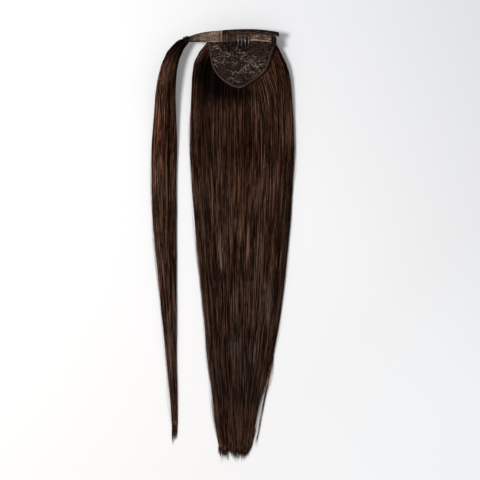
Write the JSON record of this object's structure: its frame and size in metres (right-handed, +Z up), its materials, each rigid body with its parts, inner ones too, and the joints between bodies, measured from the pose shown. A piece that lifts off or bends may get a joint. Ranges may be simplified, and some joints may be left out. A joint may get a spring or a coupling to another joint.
{
  "type": "wrap-around ponytail hairpiece",
  "caption": "Long straight dark brown ponytail on a netted base with a comb, a hook patch, and a strap that carries a wrapping strand, lying flat with its inner side up.",
  "frame": {"origin": "under the middle of the whole piece, on the surface that it lies on", "axes": "+Y from the hair's tips towards the base, +X to the right seen from above, +Z up, out of the base's inner side"},
  "size_m": [0.1875, 0.5604, 0.027],
  "materials": {
    "hair": "straight dark brown hair with a soft lengthwise gloss",
    "net": "matt dark net with a fine sewn pattern",
    "binding": "matt brown-grey folded tape",
    "band": "matt dark woven band",
    "tape": "matt nearly black woven tape",
    "hooks": "fuzzy brown hook-and-loop tape",
    "strap": "brushed taupe loop fabric",
    "comb": "dark grey, lightly glossy"
  },
  "bodies": {
    "root": {"hair_tail": "hair", "wrap_strand": "hair", "base_net": "net", "edge_binding": "binding", "top_band": "band", "top_tape": "tape", "end_binding": "tape", "hook_tape": "hooks", "wrap_strap": "strap", "comb": "comb"}
  },
  "joints": []
}
